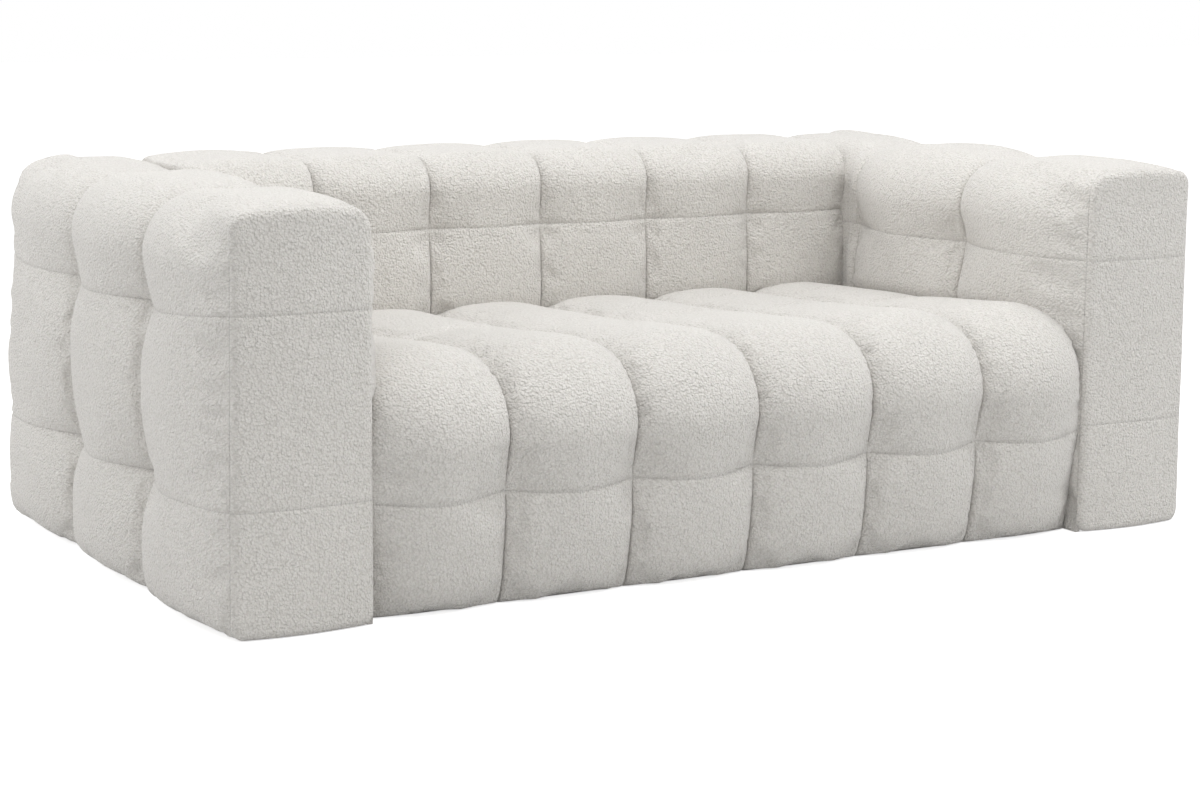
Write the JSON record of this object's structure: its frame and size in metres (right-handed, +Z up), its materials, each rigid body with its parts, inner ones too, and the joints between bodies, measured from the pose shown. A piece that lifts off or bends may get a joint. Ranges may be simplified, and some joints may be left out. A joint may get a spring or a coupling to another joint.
{
  "type": "tuxedo sofa",
  "caption": "Tuxedo sofa with arms as high as the back, channelled boucle upholstery down to the floor, and a sprung, boarded timber frame inside.",
  "frame": {"origin": "on the floor under the middle of the sofa's box", "axes": "+X to the right seen from the front, along the sofa's length; +Y from the front to the back; +Z up"},
  "size_m": [2.04, 1.15, 0.7],
  "materials": {
    "cloth": "matte",
    "foam": "matte",
    "felt": "matte",
    "dust_cloth": "matte",
    "webbing": "matte",
    "timber": "matte",
    "board": "matte",
    "steel": "satin",
    "glide_plastic": "matte"
  },
  "bodies": {
    "root": {"seat_cover": "cloth", "seat_foam": "foam", "seat_front_foam": "foam", "seat_felt": "felt", "seat_springs": "steel", "spring_clips": "steel", "tie_wires": "steel", "seat_front_spring_rail": "timber", "seat_back_spring_rail": "timber", "seat_front_bottom_rail": "timber", "seat_back_bottom_rail": "timber", "seat_left_end_board": "timber", "seat_right_end_board": "timber", "seat_left_divider": "timber", "seat_right_divider": "timber", "seat_front_board": "board", "corner_blocks": "timber", "seat_dust_cover": "dust_cloth", "back_cover": "cloth", "back_foam": "foam", "back_webbing": "webbing", "back_webbing_rail": "timber", "back_top_rails": "timber", "back_bottom_rails": "timber", "back_end_formers": "timber", "back_inner_formers": "timber", "outside_board": "board", "back_dust_cover": "dust_cloth", "left_arm_cover": "cloth", "left_arm_front_panel": "cloth", "left_arm_rear_panel": "cloth", "left_arm_foam": "foam", "left_arm_outer_board": "board", "left_arm_inner_board": "board", "left_arm_top_board": "board", "left_arm_joining_board": "timber", "left_arm_front_former": "timber", "left_arm_rear_former": "timber", "left_arm_groove_formers": "timber", "left_arm_top_rails": "timber", "left_arm_bottom_rails": "timber", "left_arm_dust_cover": "dust_cloth", "right_arm_cover": "cloth", "right_arm_front_panel": "cloth", "right_arm_rear_panel": "cloth", "right_arm_foam": "foam", "right_arm_outer_board": "board", "right_arm_inner_board": "board", "right_arm_top_board": "board", "right_arm_joining_board": "timber", "right_arm_front_former": "timber", "right_arm_rear_former": "timber", "right_arm_groove_formers": "timber", "right_arm_top_rails": "timber", "right_arm_bottom_rails": "timber", "right_arm_dust_cover": "dust_cloth", "glides": "glide_plastic", "glide_screws": "steel", "joining_bolts": "steel", "tee_nuts": "steel"}
  },
  "joints": []
}
